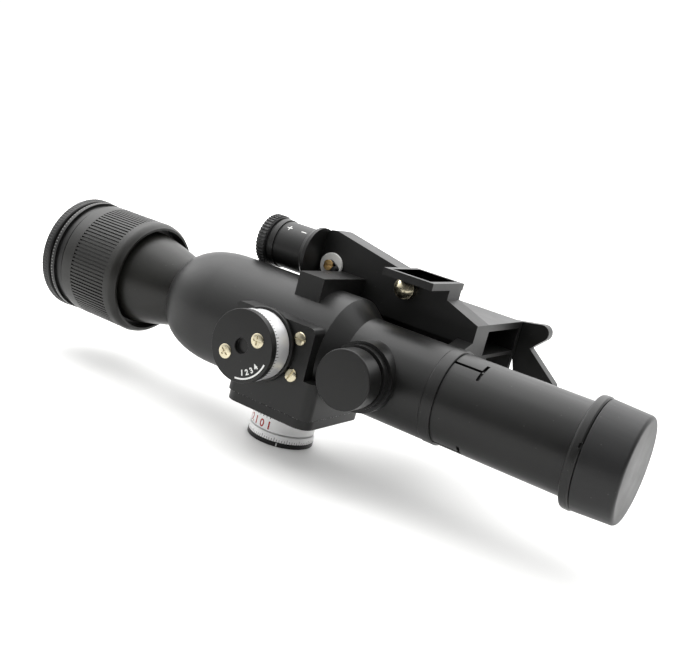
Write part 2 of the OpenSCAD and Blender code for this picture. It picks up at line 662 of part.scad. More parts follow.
main_housing();
objective_tube();
shade_collar();
sunshade();
bayonet_pins();
objective_cap();
crown_lens();
flint_lens();
lens_lock_ring();
reticle_ring();
reticle_glass();
gimbal_ring();
erector_tube();
front_cell();
front_cell_lens();
rear_cell();
rear_cell_lens();
erector_spring();
elevation_base();
elevation_drum();
elevation_scale();
elevation_cap();
elevation_cap_screws();
elevation_spindle();
block_screws();
windage_base();
windage_base_screws();
windage_drum();
windage_scale();
windage_cap();
windage_cap_screws();
windage_spindle();
lamp_seal();
lamp_cap();
lamp_holder();
lamp_bulb();
eyepiece_tube();
zoom_ring();
dioptre_ring();
dioptre_scale();
eye_lens_cell();
eye_lens();
field_lens();
bracket();
bracket_screws();
battery_cap();
battery_seal();
battery_cells();
battery_spring();
switch_washer();
switch_lever();
switch_bolt();
clamp_jaw();
tension_nut();
clamp_lever();
lever_pivot();
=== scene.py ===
"""Telescopic sight with a side-rail bracket, laid on its windage turret.

The sections follow the sight as it is put together, from the main housing out.
"""
import json
import math

import bmesh
import bpy
from mathutils import Matrix, Vector


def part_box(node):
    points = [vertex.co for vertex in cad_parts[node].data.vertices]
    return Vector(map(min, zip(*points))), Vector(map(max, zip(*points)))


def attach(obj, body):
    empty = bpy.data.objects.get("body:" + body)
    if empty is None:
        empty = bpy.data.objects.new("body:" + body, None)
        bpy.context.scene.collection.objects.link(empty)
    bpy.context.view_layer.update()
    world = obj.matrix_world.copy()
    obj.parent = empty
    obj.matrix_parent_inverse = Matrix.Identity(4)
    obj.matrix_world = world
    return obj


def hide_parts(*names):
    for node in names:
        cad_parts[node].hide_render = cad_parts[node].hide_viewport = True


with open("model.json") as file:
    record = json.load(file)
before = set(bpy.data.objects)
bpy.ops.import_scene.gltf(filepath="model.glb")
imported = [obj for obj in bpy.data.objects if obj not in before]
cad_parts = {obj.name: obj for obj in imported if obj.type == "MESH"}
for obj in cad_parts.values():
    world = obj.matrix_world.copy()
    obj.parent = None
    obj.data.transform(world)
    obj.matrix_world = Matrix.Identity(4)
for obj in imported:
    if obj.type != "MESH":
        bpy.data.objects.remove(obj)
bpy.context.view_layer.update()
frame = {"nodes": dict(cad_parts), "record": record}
mm = 0.001

# ---------------------------------------------------------------- main housing
# Aluminium casting, turned round the optical axis, with the seats of both turrets.
# It is sprayed matt black over a fine sanded grain, and wears bright at its edges.

record = frame["record"]
body_of_node = {
    node: body for body, members in record["behaviour"]["bodies"].items() for node in members
}


def surface_group():
    """Shader group: grain height, slow blotches and a mask of worn edges."""
    tree = bpy.data.node_groups.new("Handled Surface", "ShaderNodeTree")
    for name, default in (("Grain Scale", 4000.0), ("Blotch Scale", 45.0), ("Wear", 0.3)):
        tree.interface.new_socket(
            name, in_out="INPUT", socket_type="NodeSocketFloat"
        ).default_value = default
    for name in ("Height", "Blotch", "Worn Edge", "Dust"):
        tree.interface.new_socket(name, in_out="OUTPUT", socket_type="NodeSocketFloat")
    node, link = tree.nodes.new, tree.links.new
    given, put = node("NodeGroupInput"), node("NodeGroupOutput")
    place = node("ShaderNodeTexCoord")

    grain = node("ShaderNodeTexNoise")
    grain.inputs["Detail"].default_value = 3.0
    link(place.outputs["Object"], grain.inputs["Vector"])
    link(given.outputs["Grain Scale"], grain.inputs["Scale"])
    link(grain.outputs["Fac"], put.inputs["Height"])

    blotch = node("ShaderNodeTexNoise")
    blotch.inputs["Detail"].default_value = 5.0
    blotch.inputs["Roughness"].default_value = 0.6
    link(place.outputs["Object"], blotch.inputs["Vector"])
    link(given.outputs["Blotch Scale"], blotch.inputs["Scale"])
    spread = node("ShaderNodeMapRange")
    spread.inputs["From Min"].default_value = 0.3
    spread.inputs["From Max"].default_value = 0.7
    link(blotch.outputs["Fac"], spread.inputs["Value"])
    link(spread.outputs["Result"], put.inputs["Blotch"])

    true_face = node("ShaderNodeNewGeometry")
    rounded = node("ShaderNodeBevel")
    rounded.samples = 4
    rounded.inputs["Radius"].default_value = 0.45 * mm
    agree = node("ShaderNodeVectorMath")
    agree.operation = "DOT_PRODUCT"
    link(true_face.outputs["True Normal"], agree.inputs[0])
    link(rounded.outputs["Normal"], agree.inputs[1])
    edge = node("ShaderNodeMapRange")
    edge.inputs["From Min"].default_value = 0.98
    edge.inputs["From Max"].default_value = 0.90
    link(agree.outputs["Value"], edge.inputs["Value"])
    broken = node("ShaderNodeTexNoise")
    broken.inputs["Scale"].default_value = 900.0
    broken.inputs["Detail"].default_value = 4.0
    link(place.outputs["Object"], broken.inputs["Vector"])
    chips = node("ShaderNodeMapRange")
    chips.inputs["From Min"].default_value = 0.5
    chips.inputs["From Max"].default_value = 0.62
    link(broken.outputs["Fac"], chips.inputs["Value"])
    both = node("ShaderNodeMath")
    both.operation = "MULTIPLY"
    link(edge.outputs["Result"], both.inputs[0])
    link(chips.outputs["Result"], both.inputs[1])
    amount = node("ShaderNodeMath")
    amount.operation = "MULTIPLY"
    amount.use_clamp = True
    link(both.outputs["Value"], amount.inputs[0])
    link(given.outputs["Wear"], amount.inputs[1])
    link(amount.outputs["Value"], put.inputs["Worn Edge"])

    specks = node("ShaderNodeTexVoronoi")
    specks.inputs["Scale"].default_value = 260.0
    link(place.outputs["Object"], specks.inputs["Vector"])
    fleck = node("ShaderNodeMapRange")
    fleck.inputs["From Min"].default_value = 0.07
    fleck.inputs["From Max"].default_value = 0.03
    link(specks.outputs["Distance"], fleck.inputs["Value"])
    link(fleck.outputs["Result"], put.inputs["Dust"])
    return tree


handled_surface = surface_group()


def finish(
    name,
    colour,
    shade,
    rough,
    rough_spread=0.08,
    metallic=0.0,
    grain_scale=4000.0,
    grain_depth=0.01,
    blotch_scale=45.0,
    worn=(0.35, 0.35, 0.34),
    wear=0.0,
    dust=0.06,
    gloss=0.5,
):
    """Material from two near colours, a roughness range, grain, wear and dust specks."""
    made = bpy.data.materials.new(name)
    made.use_nodes = True
    tree = made.node_tree
    node, link = tree.nodes.new, tree.links.new
    shader = tree.nodes["Principled BSDF"]
    surface = node("ShaderNodeGroup")
    surface.node_tree = handled_surface
    surface.inputs["Grain Scale"].default_value = grain_scale
    surface.inputs["Blotch Scale"].default_value = blotch_scale
    surface.inputs["Wear"].default_value = wear

    tone = node("ShaderNodeMix")
    tone.data_type = "RGBA"
    tone.inputs["A"].default_value = (*colour, 1)
    tone.inputs["B"].default_value = (*shade, 1)
    link(surface.outputs["Blotch"], tone.inputs["Factor"])
    dusty = node("ShaderNodeMix")
    dusty.data_type = "RGBA"
    dusty.inputs["B"].default_value = (0.4, 0.4, 0.38, 1)
    fade = node("ShaderNodeMath")
    fade.operation = "MULTIPLY"
    fade.inputs[1].default_value = dust
    link(surface.outputs["Dust"], fade.inputs[0])
    link(fade.outputs["Value"], dusty.inputs["Factor"])
    link(tone.outputs["Result"], dusty.inputs["A"])
    rubbed = node("ShaderNodeMix")
    rubbed.data_type = "RGBA"
    rubbed.inputs["B"].default_value = (*worn, 1)
    link(dusty.outputs["Result"], rubbed.inputs["A"])
    link(surface.outputs["Worn Edge"], rubbed.inputs["Factor"])
    link(rubbed.outputs["Result"], shader.inputs["Base Color"])

    sheen = node("ShaderNodeMapRange")
    sheen.inputs["To Min"].default_value = rough - rough_spread / 2
    sheen.inputs["To Max"].default_value = rough + rough_spread / 2
    link(surface.outputs["Blotch"], sheen.inputs["Value"])
    link(sheen.outputs["Result"], shader.inputs["Roughness"])
    shader.inputs["Metallic"].default_value = metallic
    shader.inputs["Specular IOR Level"].default_value = gloss
    bump = node("ShaderNodeBump")
    bump.inputs["Strength"].default_value = 0.6
    bump.inputs["Distance"].default_value = grain_depth * mm
    link(surface.outputs["Height"], bump.inputs["Height"])
    link(bump.outputs["Normal"], shader.inputs["Normal"])
    return made


def add(name, mesh):
    """New object of this mesh, at the origin."""
    piece = bpy.data.objects.new(name, mesh)
    bpy.context.collection.objects.link(piece)
    return piece


def settled(piece):
    """Turns the piece's modifiers into plain mesh."""
    shape = bpy.data.meshes.new_from_object(
        piece.evaluated_get(bpy.context.evaluated_depsgraph_get())
    )
    piece.modifiers.clear()
    piece.data = shape


def carried(piece, material, node, *others):
    """Gives the piece its material and body, and hides the nodes it stands for."""
    piece.data.materials.clear()
    piece.data.materials.append(material)
    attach(piece, body_of_node[node])
    if others:
        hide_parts(*others)
    return piece


def smoothed(mesh, crease=38):
    """Smooth faces, split where they meet at more than the crease angle."""
    mesh.shade_smooth()
    mesh.set_sharp_from_angle(angle=math.radians(crease))


def broken_edges(node, material, radius=0.3, segments=2, from_angle=32):
    """A welded copy of a CAD node with its edges rounded over, standing for the node."""
    mesh = frame["nodes"][node].data.copy()
    shape = bmesh.new()
    shape.from_mesh(mesh)
    bmesh.ops.remove_doubles(shape, verts=shape.verts, dist=0.001 * mm)
    bmesh.ops.dissolve_limit(
        shape, angle_limit=math.radians(0.4), verts=shape.verts, edges=shape.edges
    )
    shape.to_mesh(mesh)
    shape.free()
    piece = add(node + "_finished", mesh)
    edges = piece.modifiers.new("edges", "BEVEL")
    edges.width = radius * mm
    edges.segments = segments
    edges.angle_limit = math.radians(from_angle)
    edges.miter_outer = "MITER_ARC"
    settled(piece)
    smoothed(piece.data)
    level = piece.modifiers.new("level", "WEIGHTED_NORMAL")
    level.keep_sharp = True
    settled(piece)
    return carried(piece, material, node, node)


cast_paint = finish(
    "Sprayed Casting",
    (0.0055, 0.0055, 0.0053),
    (0.0085, 0.0085, 0.0082),
    rough=0.41,
    gloss=0.33,
    grain_scale=2600.0,
    grain_depth=0.012,
    wear=0.10,
)
broken_edges("main_housing", cast_paint, 0.5, 3)

# ---------------------------------------------------------------- objective tube
# Turned aluminium tube with the lamp boss on its side, black anodised and satin.
# The shade collar is a separate ring pressed on its front shoulder.

anodised = finish(
    "Black Anodised Tube",
    (0.0058, 0.0058, 0.0056),
    (0.0085, 0.0085, 0.0082),
    rough=0.36,
    gloss=0.30,
    rough_spread=0.06,
    grain_scale=5200.0,
    grain_depth=0.005,
    wear=0.06,
)
broken_edges("objective_tube", anodised, 0.35)
broken_edges("shade_collar", anodised, 0.4)

# ---------------------------------------------------------------- sunshade
# Thin anodised sleeve, slotted for its three bayonet pins, with a rounded front flange.
# The slots are milled, so their edges catch the light.

broken_edges("sunshade", anodised, 0.18)
pins_black = finish(
    "Blacked Steel", (0.02, 0.02, 0.02), (0.03, 0.03, 0.03), rough=0.4, metallic=0.6
)
broken_edges("bayonet_pins", pins_black, 0.08)

# ---------------------------------------------------------------- objective cap
# Moulded rubber cup pushed over the nose of the sunshade.
# The whole cup is coloured a little lighter than the tube and carries more dust specks; its edge
# is softly rounded.

cap_rubber = finish(
    "Lighter Cap Rubber",
    (0.0075, 0.0075, 0.0078),
    (0.0110, 0.0110, 0.0115),
    gloss=0.32,
    rough=0.42,
    rough_spread=0.12,
    grain_scale=3200.0,
    grain_depth=0.012,
    dust=0.12,
)
broken_edges("objective_cap", cap_rubber, 0.7, 4, 20)

# ---------------------------------------------------------------- lenses and erector
# Ground glass in brass and aluminium cells, held by a threaded ring.
# They sit inside the tubes, so only the eye lens shows.


def glass(name, tint):
    """Coated optical glass."""
    made = bpy.data.materials.new(name)
    made.use_nodes = True
    shader = made.node_tree.nodes["Principled BSDF"]
    shader.inputs["Base Color"].default_value = (*tint, 1)
    shader.inputs["Roughness"].default_value = 0.03
    shader.inputs["Transmission Weight"].default_value = 0.9
    shader.inputs["IOR"].default_value = 1.52
    shader.inputs["Coat Weight"].default_value = 0.6
    shader.inputs["Coat Tint"].default_value = (0.6, 0.5, 0.9, 1)
    return made


def paint_node(node, material):
    """Gives a CAD node that stays in place its finish."""
    slots = frame["nodes"][node].material_slots
    for one in slots:
        one.material = material


lens_glass = glass("Coated Lens", (0.86, 0.93, 0.95))
for node in (
    "crown_lens",
    "flint_lens",
    "reticle_glass",
    "front_cell_lens",
    "rear_cell_lens",
    "eye_lens",
    "field_lens",
):
    paint_node(node, lens_glass)

satin_aluminium = finish(
    "Satin Aluminium",
    (0.74, 0.74, 0.74),
    (0.66, 0.66, 0.67),
    rough=0.40,
    rough_spread=0.08,
    metallic=0.55,
    grain_scale=2600.0,
    grain_depth=0.004,
    dust=0.0,
)
for node in ("reticle_ring", "gimbal_ring", "erector_tube"):
    paint_node(node, satin_aluminium)

turned_brass = finish(
    "Turned Brass",
    (0.66, 0.44, 0.18),
    (0.5, 0.33, 0.14),
    rough=0.28,
    metallic=1.0,
    grain_depth=0.004,
    dust=0.0,
)
for node in ("front_cell", "rear_cell", "lamp_holder"):
    paint_node(node, turned_brass)

plated_nickel = finish(
    "Plated Nickel",
    (0.60, 0.55, 0.40),
    (0.48, 0.43, 0.31),
    rough=0.24,
    rough_spread=0.12,
    metallic=1.0,
    grain_scale=3000.0,
    grain_depth=0.004,
    blotch_scale=300.0,
    dust=0.0,
)
for node in ("erector_spring", "elevation_spindle", "windage_spindle", "battery_spring"):
    paint_node(node, plated_nickel)
for node in ("lens_lock_ring", "eye_lens_cell"):
    paint_node(node, anodised)

# ---------------------------------------------------------------- elevation turret
# Silver drum and scale ring under a black cap that two screws hold on.
# Ticks are filled black round the ring, and a white arc is printed on the cap.


def ring_tree():
    """Geometry Nodes tree that stands small bars round a ring, some of them longer."""
    tree = bpy.data.node_groups.new("Bars Round A Ring", "GeometryNodeTree")
    for name, kind, default in (
        ("Count", "NodeSocketInt", 60),
        ("Ring Radius", "NodeSocketFloat", 0.01),
        ("Start", "NodeSocketFloat", 0.0),
        ("Sweep", "NodeSocketFloat", 2 * math.pi),
        ("Bar Depth", "NodeSocketFloat", 0.0001),
        ("Bar Width", "NodeSocketFloat", 0.0002),
        ("Bar Length", "NodeSocketFloat", 0.001),
        ("Long Every", "NodeSocketInt", 1),
        ("Long Factor", "NodeSocketFloat", 1.0),
        ("Sides", "NodeSocketInt", 8),
        ("Finish", "NodeSocketMaterial", None),
    ):
        socket = tree.interface.new_socket(name, in_out="INPUT", socket_type=kind)
        if default is not None:
            socket.default_value = default
    tree.interface.new_socket("Geometry", in_out="OUTPUT", socket_type="NodeSocketGeometry")
    node, link = tree.nodes.new, tree.links.new
    given, put = node("NodeGroupInput"), node("NodeGroupOutput")

    def sum_of(kind, first, second):
        made = node("ShaderNodeMath")
        made.operation = kind
        for socket, value in zip(made.inputs, (first, second)):
            if isinstance(value, (int, float)):
                socket.default_value = value
            else:
                link(value, socket)
        return made.outputs["Value"]

    places = node("GeometryNodePoints")
    link(given.outputs["Count"], places.inputs["Count"])
    index = node("GeometryNodeInputIndex").outputs["Index"]
    step = sum_of("DIVIDE", given.outputs["Sweep"], given.outputs["Count"])
    turn = sum_of("ADD", sum_of("MULTIPLY", index, step), given.outputs["Start"])
    spot = node("ShaderNodeCombineXYZ")
    radius = given.outputs["Ring Radius"]
    link(sum_of("MULTIPLY", sum_of("COSINE", turn, 0.0), radius), spot.inputs["X"])
    link(sum_of("MULTIPLY", sum_of("SINE", turn, 0.0), radius), spot.inputs["Y"])
    link(spot.outputs["Vector"], places.inputs["Position"])

    bar = node("GeometryNodeMeshCylinder")
    bar.inputs["Radius"].default_value = 0.5
    bar.inputs["Depth"].default_value = 1.0
    link(given.outputs["Sides"], bar.inputs["Vertices"])
    lift = node("GeometryNodeTransform")
    lift.inputs["Translation"].default_value = (0, 0, 0.5)
    link(bar.outputs["Mesh"], lift.inputs["Geometry"])

    facing = node("ShaderNodeCombineXYZ")
    link(turn, facing.inputs["Z"])
    is_long = sum_of("LESS_THAN", sum_of("MODULO", index, given.outputs["Long Every"]), 0.5)
    extra = sum_of("MULTIPLY", is_long, sum_of("SUBTRACT", given.outputs["Long Factor"], 1.0))
    length = sum_of("MULTIPLY", given.outputs["Bar Length"], sum_of("ADD", extra, 1.0))
    size = node("ShaderNodeCombineXYZ")
    link(given.outputs["Bar Depth"], size.inputs["X"])
    link(given.outputs["Bar Width"], size.inputs["Y"])
    link(length, size.inputs["Z"])
    stand = node("GeometryNodeInstanceOnPoints")
    link(places.outputs[0], stand.inputs["Points"])
    link(lift.outputs["Geometry"], stand.inputs["Instance"])
    link(facing.outputs["Vector"], stand.inputs["Rotation"])
    link(size.outputs["Vector"], stand.inputs["Scale"])
    real = node("GeometryNodeRealizeInstances")
    link(stand.outputs["Instances"], real.inputs["Geometry"])
    coat = node("GeometryNodeSetMaterial")
    link(real.outputs["Geometry"], coat.inputs["Geometry"])
    link(given.outputs["Finish"], coat.inputs["Material"])
    link(coat.outputs["Geometry"], put.inputs["Geometry"])
    return tree


bars_round_ring = ring_tree()


def bars(name, place, material, node, **sizes):
    """Bars round a ring, settled into a plain mesh and laid at the place given."""
    piece = add(name, bpy.data.meshes.new(name))
    grown = piece.modifiers.new("bars", "NODES")
    grown.node_group = bars_round_ring
    for socket in bars_round_ring.interface.items_tree:
        if socket.in_out == "INPUT" and socket.name in sizes:
            grown[socket.identifier] = sizes[socket.name]
        if socket.name == "Finish":
            grown[socket.identifier] = material
    settled(piece)
    piece.data.transform(place)
    smoothed(piece.data)
    return carried(piece, material, node)


def middle(node):
    """Centre of a CAD node's box."""
    low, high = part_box(node)
    return (low + high) / 2


def printed(name, colour):
    """Flat paint for marks and digits."""
    return finish(name, colour, tuple(0.8 * c for c in colour), rough=0.5, dust=0.0)


ink_black = printed("Black Fill", (0.012, 0.012, 0.012))
ink_white = printed("White Print", (0.80, 0.80, 0.78))
ink_red = printed("Red Fill", (0.45, 0.03, 0.025))

broken_edges("elevation_base", anodised, 0.4)
broken_edges("elevation_drum", satin_aluminium, 0.15)
broken_edges("elevation_scale", satin_aluminium, 0.2)
broken_edges("elevation_cap", anodised, 0.35, 3)

low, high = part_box("elevation_scale")
ring_radius = (high.x - low.x) / 2
elevation_out = Matrix.Rotation(math.radians(90), 4, "X")
bars(
    "elevation_ticks",
    Matrix.Translation((0, low.y + 0.15 * mm, middle("elevation_scale").z)) @ elevation_out
    @ Matrix.Rotation(math.pi, 4, "X"),
    ink_black,
    "elevation_scale",
    **{
        "Count": 72,
        "Ring Radius": ring_radius,
        "Bar Depth": 0.04 * mm,
        "Bar Width": 0.26 * mm,
        "Bar Length": 1.0 * mm,
        "Long Every": 6,
        "Long Factor": 1.8,
    },
)


def flat_ring_arc(name, inner, outer, start, stop, thickness, steps=48):
    """A printed arc, lying in the XY plane and a hair thick."""
    shape = bmesh.new()
    rows = []
    for i in range(steps + 1):
        a = math.radians(start + (stop - start) * i / steps)
        rows.append(
            [
                shape.verts.new((r * math.cos(a), r * math.sin(a), z))
                for r, z in ((inner, 0), (outer, 0), (outer, thickness), (inner, thickness))
            ]
        )
    for one, two in zip(rows, rows[1:]):
        for i in range(4):
            shape.faces.new((one[i], one[(i + 1) % 4], two[(i + 1) % 4], two[i]))
    shape.faces.new(rows[0][::-1])
    shape.faces.new(rows[-1])
    bmesh.ops.recalc_face_normals(shape, faces=shape.faces)
    mesh = bpy.data.meshes.new(name)
    shape.to_mesh(mesh)
    shape.free()
    return mesh


cap_middle = middle("elevation_cap")
cap_face_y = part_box("elevation_cap")[0].y
cap_face = Matrix.Translation((cap_middle.x, cap_face_y, cap_middle.z)) @ elevation_out
arc_inner = 12.35 * mm
arc_outer = 13.0 * mm
arc_thickness = 0.03 * mm
arc_sunk = 0.01 * mm
arc = flat_ring_arc("cap_arc", arc_inner, arc_outer, -88, -16, arc_thickness)
arc.transform(cap_face @ Matrix.Translation((0, 0, -arc_sunk)))
carried(add("elevation_cap_arc", arc), ink_white, "elevation_cap")


def text_mesh(text, size, depth=0.03, boldness=0.11):
    """A flat figure as a mesh, centred on the origin, in the XY plane. Sizes in mm."""
    curve = bpy.data.curves.new("figure", "FONT")
    curve.body = text
    curve.size = size * mm
    curve.extrude = depth * mm
    curve.offset = boldness * mm
    curve.align_x = "CENTER"
    curve.align_y = "CENTER"
    curve.resolution_u = 3
    holder = bpy.data.objects.new("figure", curve)
    bpy.context.collection.objects.link(holder)
    mesh = bpy.data.meshes.new_from_object(
        holder.evaluated_get(bpy.context.evaluated_depsgraph_get())
    )
    bpy.data.objects.remove(holder)
    return mesh


cap_figure_size = 3.0
cap_figure_ring = 10.4 * mm
figures = bpy.data.meshes.new("cap_figures")
gathered = bmesh.new()
for figure, angle in (("1", -72), ("2", -59), ("3", -46), ("4", -33)):
    one = text_mesh(figure, cap_figure_size, 0.02)
    one.transform(
        cap_face
        @ Matrix.Rotation(math.radians(angle), 4, "Z")
        @ Matrix.Translation((cap_figure_ring, 0, 0))
        @ Matrix.Rotation(math.radians(90), 4, "Z")
    )
    gathered.from_mesh(one)
gathered.to_mesh(figures)
gathered.free()
carried(add("elevation_cap_figures", figures), ink_white, "elevation_cap")

# ---------------------------------------------------------------- cap and block screws
# Nickel-plated screws: domed cross-recess heads on the cap, slotted cheese heads
# on the turret block, each bedded on its seat.


def screw_head(name, radius, proud, recess):
    """A domed head with a cross or one slot, seated on the XY plane."""
    sides = 32
    dome = ((1.0, 0.0), (1.0, 0.45), (0.93, 0.72), (0.75, 0.88), (0.4, 0.98))
    shape = bmesh.new()
    rings = []
    for r, z in dome:
        rings.append(
            [
                shape.verts.new(
                    (
                        radius * r * math.cos(2 * math.pi * i / sides),
                        radius * r * math.sin(2 * math.pi * i / sides),
                        proud * z,
                    )
                )
                for i in range(sides)
            ]
        )
    for below, above in zip(rings, rings[1:]):
        for i in range(sides):
            after = (i + 1) % sides
            shape.faces.new((below[i], below[after], above[after], above[i]))
    shape.faces.new(rings[-1])
    shape.faces.new(rings[0][::-1])
    mesh = bpy.data.meshes.new(name)
    shape.to_mesh(mesh)
    shape.free()
    head = add(name, mesh)
    turns, reach = ((0, 90), 0.62) if recess == "cross" else ((0,), 1.2)
    slot_width = 0.25 * radius
    slot_height = 1.7 * proud
    for turn in turns:
        cutter_mesh = bpy.data.meshes.new("recess")
        cutter = bmesh.new()
        bmesh.ops.create_cube(
            cutter,
            size=1,
            matrix=Matrix.Rotation(math.radians(turn), 4, "Z")
            @ Matrix.Translation((0, 0, proud))
            @ Matrix.Diagonal((2 * radius * reach, slot_width, slot_height, 1)),
        )
        cutter.to_mesh(cutter_mesh)
        cutter.free()
        blade = add("recess", cutter_mesh)
        cut = head.modifiers.new("cut", "BOOLEAN")
        cut.operation = "DIFFERENCE"
        cut.solver = "EXACT"
        cut.object = blade
        settled(head)
        bpy.data.objects.remove(blade)
    return head


def heads_tree():
    """Geometry Nodes tree that seats one screw head at each vertex it is given."""
    tree = bpy.data.node_groups.new("Screws On Seats", "GeometryNodeTree")
    for name, kind in (
        ("Geometry", "NodeSocketGeometry"),
        ("Head", "NodeSocketObject"),
        ("Turn", "NodeSocketFloat"),
        ("Finish", "NodeSocketMaterial"),
    ):
        tree.interface.new_socket(name, in_out="INPUT", socket_type=kind)
    tree.interface.new_socket("Geometry", in_out="OUTPUT", socket_type="NodeSocketGeometry")
    node, link = tree.nodes.new, tree.links.new
    given, put = node("NodeGroupInput"), node("NodeGroupOutput")
    head = node("GeometryNodeObjectInfo")
    link(given.outputs["Head"], head.inputs["Object"])
    index = node("GeometryNodeInputIndex")
    turn = node("ShaderNodeMath")
    turn.operation = "MULTIPLY"
    link(index.outputs["Index"], turn.inputs[0])
    link(given.outputs["Turn"], turn.inputs[1])
    facing = node("ShaderNodeCombineXYZ")
    link(turn.outputs["Value"], facing.inputs["Z"])
    seat = node("GeometryNodeInstanceOnPoints")
    link(given.outputs["Geometry"], seat.inputs["Points"])
    link(head.outputs["Geometry"], seat.inputs["Instance"])
    link(facing.outputs["Vector"], seat.inputs["Rotation"])
    real = node("GeometryNodeRealizeInstances")
    link(seat.outputs["Instances"], real.inputs["Geometry"])
    coat = node("GeometryNodeSetMaterial")
    link(real.outputs["Geometry"], coat.inputs["Geometry"])
    link(given.outputs["Finish"], coat.inputs["Material"])
    link(coat.outputs["Geometry"], put.inputs["Geometry"])
    return tree


screws_on_seats = heads_tree()


def seated_screws(name, seats, place, head, turn, node, *hidden):
    """One head on each seat, settled into a plain mesh."""
    mesh = bpy.data.meshes.new(name)
    mesh.from_pydata(seats, [], [])
    piece = add(name, mesh)
    grown = piece.modifiers.new("heads", "NODES")
    grown.node_group = screws_on_seats
    given = {"Head": head, "Turn": turn, "Finish": plated_nickel}
    for socket in screws_on_seats.interface.items_tree:
        if socket.in_out == "INPUT" and socket.name in given:
            grown[socket.identifier] = given[socket.name]
    settled(piece)
    piece.data.transform(place)
    smoothed(piece.data, 30)
    bpy.data.objects.remove(head)
    return carried(piece, plated_nickel, node, *hidden)


low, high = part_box("elevation_cap_screws")
head_radius = 2.9 * mm
seat_x = (high.x - low.x) / 2 - head_radius
seat_z = (high.z - low.z) / 2 - head_radius
seated_screws(
    "elevation_cap_heads",
    [(seat_x, seat_z, 0), (-seat_x, -seat_z, 0)],
    cap_face,
    screw_head("cap_head", head_radius, cap_face_y - low.y, "cross"),
    0.9,
    "elevation_cap_screws",
    "elevation_cap_screws",
)
low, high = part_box("block_screws")
block_radius = (high.x - low.x) / 2
block_head_height = 1.0 * mm
block_face = low.y + block_head_height
seat_z = (high.z - low.z) / 2 - block_radius
seated_screws(
    "block_heads",
    [(0, seat_z, 0), (0, -seat_z, 0)],
    Matrix.Translation((middle("block_screws").x, block_face, middle("block_screws").z))
    @ elevation_out,
    screw_head("block_head", block_radius, block_head_height, "slot"),
    1.1,
    "block_screws",
    "block_screws",
)

# ---------------------------------------------------------------- windage turret
# Square black base plate, silver drum with red figures and black ticks, and a
# fine-ticked ring over the black cap that the sight rests on.

plate_paint = finish(
    "Chipped Plate Paint",
    (0.0045, 0.0045, 0.0043),
    (0.0070, 0.0070, 0.0068),
    rough=0.36,
    gloss=0.28,
    grain_scale=1500.0,
    grain_depth=0.02,
    worn=(0.55, 0.55, 0.53),
    wear=0.7,
)
# Painted light: this aluminium is coloured lighter than the elevation drum's and is less
# metallic, so the windage drum and scale look lit although they sit in shade under these lamps.
aluminium_painted_lighter = finish(
    "Turned Aluminium Painted Lighter",
    (0.93, 0.93, 0.92),
    (0.86, 0.86, 0.86),
    rough=0.45,
    metallic=0.15,
)
broken_edges("windage_base", plate_paint, 0.45, 3)
broken_edges("windage_base_screws", pins_black, 0.1)
broken_edges("windage_drum", aluminium_painted_lighter, 0.2)
broken_edges("windage_scale", aluminium_painted_lighter, 0.2)
broken_edges("windage_cap", anodised, 0.4, 3)
paint_node("windage_cap_screws", plated_nickel)

drum_low, drum_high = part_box("windage_drum")
drum_radius = (drum_high.x - drum_low.x) / 2
scale_low, scale_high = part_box("windage_scale")
scale_radius = (scale_high.x - scale_low.x) / 2
bars(
    "windage_fine_ticks",
    Matrix.Translation((0, 0, scale_low.z + 0.1 * mm)),
    ink_black,
    "windage_scale",
    **{
        "Count": 80,
        "Ring Radius": scale_radius,
        "Bar Depth": 0.04 * mm,
        "Bar Width": 0.18 * mm,
        "Bar Length": 1.1 * mm,
        "Long Every": 5,
        "Long Factor": 1.5,
    },
)
figure_step = 15
first_figure = -143
drum_figure_size = 4.8
ticks_below_top = 6.3 * mm
figures_below_top = 9.4 * mm
bars(
    "windage_drum_ticks",
    Matrix.Translation((0, 0, drum_high.z - ticks_below_top)),
    ink_black,
    "windage_drum",
    **{
        "Count": 9,
        "Ring Radius": drum_radius,
        "Start": math.radians(first_figure),
        "Sweep": math.radians(figure_step * 4.5),
        "Bar Depth": 0.04 * mm,
        "Bar Width": 0.35 * mm,
        "Bar Length": 1.8 * mm,
        "Long Every": 2,
        "Long Factor": 1.4,
    },
)
gathered = bmesh.new()
for place, figure in enumerate("32101"):
    one = text_mesh(figure, drum_figure_size)
    for corner in one.vertices:
        a = math.radians(first_figure + figure_step * place) + corner.co.x / drum_radius
        r = drum_radius + corner.co.z
        height = drum_high.z - figures_below_top + corner.co.y
        corner.co = (r * math.cos(a), r * math.sin(a), height)
    gathered.from_mesh(one)
figures = bpy.data.meshes.new("drum_figures")
gathered.to_mesh(figures)
gathered.free()
carried(add("windage_drum_figures", figures), ink_red, "windage_drum")

cap_low, cap_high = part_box("windage_cap")
bars(
    "windage_index",
    Matrix.Translation((0, 0, cap_low.z + 0.3 * mm)),
    ink_white,
    "windage_cap",
    **{
        "Count": 1,
        "Ring Radius": (cap_high.x - cap_low.x) / 2,
        "Start": math.radians(-62),
        "Bar Depth": 0.04 * mm,
        "Bar Width": 0.55 * mm,
        "Bar Length": 1.4 * mm,
    },
)

# ---------------------------------------------------------------- lamp
# Screw-on black cap over the reticle lamp, with a rubber seal under its rim.
# The bulb and its brass holder sit inside it.

broken_edges("lamp_cap", anodised, 0.5, 3)
seal_rubber = finish("Seal Rubber", (0.012, 0.012, 0.012), (0.018, 0.018, 0.018), rough=0.7)
for node in ("lamp_seal", "battery_seal"):
    paint_node(node, seal_rubber)
paint_node("lamp_bulb", glass("Bulb Glass", (0.95, 0.9, 0.75)))
